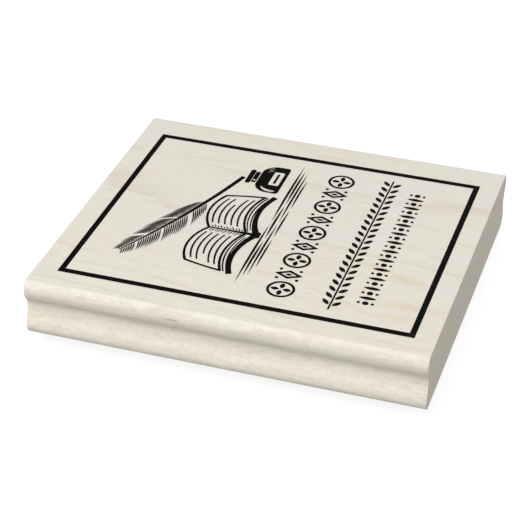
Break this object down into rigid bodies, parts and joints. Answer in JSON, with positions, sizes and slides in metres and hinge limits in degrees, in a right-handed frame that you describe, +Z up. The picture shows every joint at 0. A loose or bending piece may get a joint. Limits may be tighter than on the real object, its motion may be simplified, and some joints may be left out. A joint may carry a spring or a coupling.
{
  "type": "rubber stamp",
  "caption": "Wood-mounted rubber stamp: moulded maple block with side finger grooves, printed index image on top, foam cushion and raised rubber die below.",
  "frame": {"origin": "middle of the block's plan, at the printing face of the die, which is the plane that meets the paper", "axes": "+Z up, away from the paper; +Y to the top of the artwork and along the wood grain; +X along the artwork's bands, towards a side with a finger groove"},
  "size_m": [0.111, 0.1226, 0.0235],
  "materials": {
    "maple": "satin",
    "index_ink": "matte",
    "adhesive": "satin",
    "foam": "matte",
    "rubber": "matte"
  },
  "bodies": {
    "mount": {"wood_block": "maple", "block_adhesive": "adhesive", "foam_cushion": "foam", "index_border": "index_ink", "index_quill": "index_ink", "index_ink_bottle": "index_ink", "index_open_book": "index_ink", "index_ground_shadow": "index_ink", "index_title_band": "index_ink", "index_upper_band": "index_ink", "index_lower_band": "index_ink"},
    "die": {"die_adhesive": "adhesive", "rubber_die": "rubber"}
  },
  "joints": [
    {"name": "cushion_press", "type": "slide", "parent": "mount", "child": "die", "axis": [0, 0, 1], "range_m": [0, 0.0007], "stiffness_N_per_m": 20000, "deforming": ["foam_cushion"]}
  ]
}
